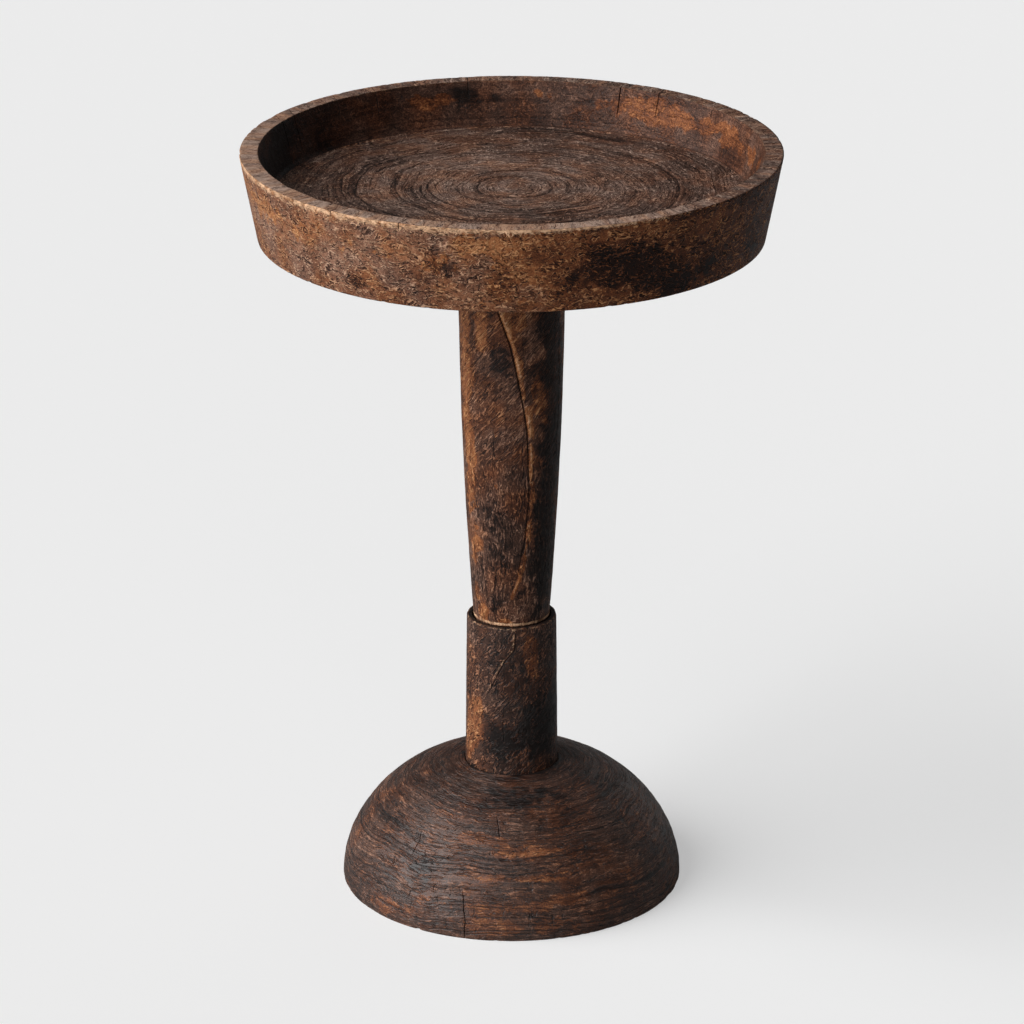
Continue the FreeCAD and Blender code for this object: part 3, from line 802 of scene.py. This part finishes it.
def make_collar():
    """Sleeve with an open socket, in which the column's foot stands."""
    bore = FOOT_TENON_RADIUS + GLUE_GAP
    section = Section(
        Corner(bore, COLLAR_FOOT),
        Corner(COLLAR_FOOT_RADIUS, COLLAR_FOOT, 0.6, 3.0, "foot"),
        Corner(COLLAR_TOP_RADIUS, COLLAR_TOP, 1.2, 1.1, "top"),
        Corner(SOCKET_RADIUS, COLLAR_TOP, 0, 0.6),
        Corner(SOCKET_RADIUS, COLUMN_FOOT, 0, 1.2),
        Corner(bore, COLUMN_FOOT, 0, 3.0),
        Corner(bore, COLLAR_FOOT, 0, 12.0),
        flank=("foot", "top"),
    )
    foot, top = section.marks["foot"], section.marks["top"]
    seam = [(212, 6.0), (196.6, 4.3), (186.8, -8.5), (171, -21.6), (153, -36)]
    checks = (
        Check([(top + 2.5, 6.5)] + section.up(*seam), 0.55, 0.8, 0.7),
        Check(section.up((150, 6.0), (135, 4.6), (118, 6.4)), 0.4, 0.6, 0.7),
        Check(section.up((205, 140), (170, 146), (130, 141)), 0.7, 1.1),
        Check([(top + 2.0, -120)] + section.up((190, -122), (160, -117)), 0.6, 1.0),
    )
    collar = Turned(section, 230, checks)
    collar.wobble(0.35, seed=81)
    top_edge = collar.chip(top, reach=1.3, depth=0.4, size=5.0, share=0.45, seed=83)
    foot_edge = collar.chip(foot, reach=1.4, depth=0.5, size=4.0, share=0.45, seed=85)
    wall = (collar.along >= foot) & (collar.along <= top)
    in_socket = collar.along > top + 1
    lip = bell(collar.beside(seam), -3.0, 1.6) * smooth_step(150, 160, collar.height) * wall
    rusty = collar.patches(
        (24, 192, 10, 13, 1.2), (31, 180, 6, 10, 0.9), (-55, 128, 20, 16, 1.2), (-46, 148, 12, 8, 0.9),
        (-68, 108, 18, 12, 0.8), (-65, 190, 14, 20, 0.4), (150, 170, 26, 24, 0.8),
        (-140, 130, 24, 22, 0.8), (95, 140, 16, 20, 0.5),
    )
    rusty = wall * np.clip(lip * 0.4 + rusty, 0, 1.1)
    # Dark patches: stains, with painted shade on the right side and at the back
    patchy_soot_and_shade = collar.patches(
        (-6, 120, 30, 20, 0.8), (45, 130, 30, 34, 0.8), (-22, 192, 20, 16, 0.5), (75, 160, 22, 60, 0.7),
        (180, 130, 40, 30, 0.6),
    )
    collar.masks["warm"] = rusty
    # The open socket is painted black, as shade in the gap round the column's foot
    collar.masks["soot_and_shade"] = wall * patchy_soot_and_shade + in_socket
    # The collar's right side, turned from the key light, is painted darker as shade
    away = smooth_step(-0.7, 0.0, collar.facing(90))
    wall_tone = wall * (0.02 - 0.10 * away) + 0.10 * rusty + 0.08 * lip
    # The socket and the bottom face are painted darker as shade
    collar.masks["tone"] = wall_tone - 0.1 * in_socket - 0.2 * (collar.along < foot)
    collar.masks["ringed"] = 0.2 * wall
    collar.masks["wear"] = np.clip(top_edge * 0.4 + foot_edge * 0.3 + lip * 0.42 + rusty * 0.22, 0, 1)
    collar.masks["dust"] = bell(collar.along, foot, 1.2) * 0.5
    wood = aged_wood(
        "collar_wood",
        fibre=(190, 190, 90),
        bands=(300, 300, 14),
        hairs=(250, 250, 25),
        light=0.35,
        warmth=0.54,
        stroke=0.20,
        curl=0.012,
    )
    return collar.build("collar_sleeve", wood, lean=-16.0 * collar.height * MM)


def make_base():
    """Dome whose growth rings run round it as level bands, with checks from its lower edge."""
    turn = math.asin(SHOULDER_HEIGHT / LOW_RADIUS)
    centre = np.array([BASE_RADIUS - LOW_RADIUS, 0.0])
    way = np.array([math.cos(turn), math.sin(turn)])
    seat = np.array([SEAT_RADIUS, BASE_HEIGHT])
    to_seat = seat - centre
    crown_radius = ((to_seat - LOW_RADIUS * way) ** 2).sum() / (2 * (LOW_RADIUS - to_seat @ way))
    crown_centre = centre - (crown_radius - LOW_RADIUS) * way
    seat_turn = math.atan2(*(seat - crown_centre)[::-1])
    bore = FOOT_TENON_RADIUS + GLUE_GAP
    section = Section(
        Corner(bore, COLLAR_FOOT),
        Corner(bore, FOOT_RECESS + WEDGE_LENGTH, 0, 12.0),
        Corner(bore + TENON_FLARE, FOOT_RECESS, 0, 12.0),
        Corner(RECESS_RADIUS, FOOT_RECESS, 0, 3.0),
        Corner(RECESS_RADIUS, 0.0, 0, 3.0),
        Corner(BASE_RADIUS, 0.0, 0.7, 6.0, "edge"),
        *bow(centre, LOW_RADIUS, 0.025, turn, 1.15),
        *bow(crown_centre, crown_radius, turn + 0.01, seat_turn, 1.15),
        Corner(SEAT_RADIUS, BASE_HEIGHT - 0.5, 0, 0.5, "crown"),
        Corner(SEAT_RADIUS, COLLAR_FOOT, 0, 0.7),
        Corner(bore, COLLAR_FOOT, 0, 4.0),
        flank=("edge", "crown"),
    )
    edge, crown = section.marks["edge"], section.marks["crown"]
    front_split = section.up((6, -15.9), (14, -15.6), (22, -16.5), (30, -16.9), (37, -17.9))
    checks = (
        Check([(edge - 3, -15.5)] + front_split, 0.10, 1.5, 0.9),
        Check(section.up((81, -8.0), (75, -6.4), (68, -5.2)), 0.15, 0.9, 0.7),
        Check(section.up((66, -43.0), (60, -41.2), (50, -41.8)), 0.14, 0.8, 0.7),
        Check([(edge - 2, 96.0)] + section.up((18, 95.0), (34, 96.5)), 0.16, 1.8),
        Check([(edge - 2, 171.0)] + section.up((30, 172.5), (58, 170.5)), 0.18, 2.0),
        Check([(edge - 2, -112.0)] + section.up((20, -112.8), (40, -111.0)), 0.16, 1.6),
    )
    base = Turned(section, 620, checks)
    base.wobble(0.35, seed=91)
    dome = (base.along >= edge) & (base.along <= crown)
    edge_near = base.chip(edge, reach=1.6, depth=0.3, size=6.0, share=0.42, seed=93)
    base.carve(1.2 * bell(base.angle, -32.9, 0.7) * bell(base.along, edge, 2.0))
    ring = base.along + (layered(base.grid(), 70.0, 95, 3) - 0.5) * 16
    waves = noise(np.stack([ring, ring * 0, base.angle / 16], -1), 3.2, 97)
    base.carve(dome * 0.35 * (waves - 0.5))
    base.flow = np.where(dome, ring, base.along)
    rusty = base.patches(
        (8, 60, 22, 5, 0.7), (-14, 68, 16, 4, 0.9), (4, 45, 22, 4, 0.8), (22, 30, 26, 5, 0.7),
        (-5, 24, 28, 4, 0.7), (-58, 14, 12, 12, 0.5), (-40, 14, 12, 8, 0.4), (50, 40, 20, 12, 0.35),
        (0, 10, 40, 8, 0.5), (160, 40, 40, 14, 0.6), (-150, 30, 30, 12, 0.5),
    )
    # Dark patches: stains, with painted shade near the crown and on the right side
    patchy_soot_and_shade = base.patches(
        (-36, 42, 10, 10, 0.4), (30, 84, 30, 8, 0.5), (5, 88, 30, 6, 0.4), (34, 52, 14, 14, 0.35),
        (80, 40, 30, 40, 0.4),
    )
    base.masks["warm"] = dome * rusty
    # Round the crown, where the collar stands, the dome is painted darker as shade between the parts
    base.masks["soot_and_shade"] = dome * patchy_soot_and_shade + bell(base.along, crown, 4.0) * 0.7
    dome_tone = dome * (0.01 - 0.06 * smooth_step(72, 90, base.height))
    # The bottom, the recess and the bore are painted darker as shade under the base
    base.masks["tone"] = dome_tone - 0.15 * (base.along < edge - 1)
    base.masks["ringed"] = 0.6 * dome
    # Wear on the lower edge, kept to the left front that the key light falls on: real wear, painted
    # brighter there as a highlight
    base.masks["wear"] = edge_near * 0.35 * smooth_step(-0.2, 0.8, base.facing(-50))
    base.masks["dust"] = bell(base.along, crown, 2.0) * 0.55
    wood = aged_wood(
        "base_wood",
        fibre=(36, 36, 320),
        bands=(8, 8, 360),
        hairs=(260, 260, 30),
        light=0.39,
        warmth=0.58,
        stroke=0.13,
        gloss=0.55,
        satin=0.42,
        curl=0.006,
    )
    return base.build("base_dome", wood)


def dress(piece, node):
    """Let a piece stand for a CAD node."""
    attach(piece, "root")
    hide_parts(node)


dress(make_tray(), "tray")
dress(make_column(), "column")
dress(make_collar(), "collar")
dress(make_base(), "base")
wedge_look = split_wood("wedge_wood")
for label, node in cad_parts.items():
    if "wedge" in label:
        node.data.materials.clear()
        node.data.materials.append(wedge_look)


def make_floor():
    """Pale floor without an end in view, which keeps the table's soft shadow."""
    bpy.ops.mesh.primitive_plane_add(size=FLOOR_WIDTH, location=(0, 0, 0))
    floor = bpy.context.object
    floor.name = "floor"
    look = Shader("floor_paper")
    seen = look.node("ShaderNodeLightPath", {}).outputs["Is Camera Ray"]
    paper = look.node("ShaderNodeBsdfDiffuse", {"Color": PAPER})
    shaded = look.node("ShaderNodeBsdfDiffuse", {"Color": SHADED_PAPER})
    glow = look.node("ShaderNodeEmission", {"Color": WHITE, "Strength": PAPER_GLOW})
    lit = look.node("ShaderNodeAddShader", {0: shaded.outputs[0], 1: glow.outputs[0]})
    both = look.node("ShaderNodeMixShader", {0: seen, 1: paper.outputs[0], 2: lit.outputs[0]})
    look.node("ShaderNodeOutputMaterial", {"Surface": both.outputs[0]})
    floor.data.materials.append(look.material)


def sun(name, azimuth, elevation, spread, strength):
    """Even light from far away, from an azimuth counted like the table's angles."""
    data = bpy.data.lights.new(name, "SUN")
    data.angle = math.radians(spread)
    data.energy = strength
    light = bpy.data.objects.new(name, data)
    light.rotation_euler = (math.radians(90 - elevation), 0, math.radians(azimuth))
    bpy.context.scene.collection.objects.link(light)


def light_up():
    """Broad key from the left, weak lights in front and behind on the right, and a dim even sky."""
    world = bpy.data.worlds.new("sky")
    world.use_nodes = True
    sky = world.node_tree.nodes["Background"]
    sky.inputs[0].default_value = WHITE
    sky.inputs[1].default_value = SKY_LIGHT
    bpy.context.scene.world = world
    sun("key", azimuth=-72, elevation=29, spread=70, strength=4.0)
    sun("front", azimuth=-12, elevation=22, spread=60, strength=0.50)
    sun("edge", azimuth=140, elevation=22, spread=40, strength=0.15)


def aim_camera():
    """Camera of the photograph, found from the table's rings and silhouette."""
    data = bpy.data.cameras.new("camera")
    data.sensor_width = SENSOR_WIDTH
    data.lens = LENS
    camera = bpy.data.objects.new("camera", data)
    camera.location = CAMERA_PLACE
    camera.rotation_euler = (math.radians(90 - CAMERA_DOWN), 0, 0)
    bpy.context.scene.collection.objects.link(camera)
    bpy.context.scene.camera = camera
    bpy.context.scene.view_settings.view_transform = "Standard"


make_floor()
light_up()
aim_camera()
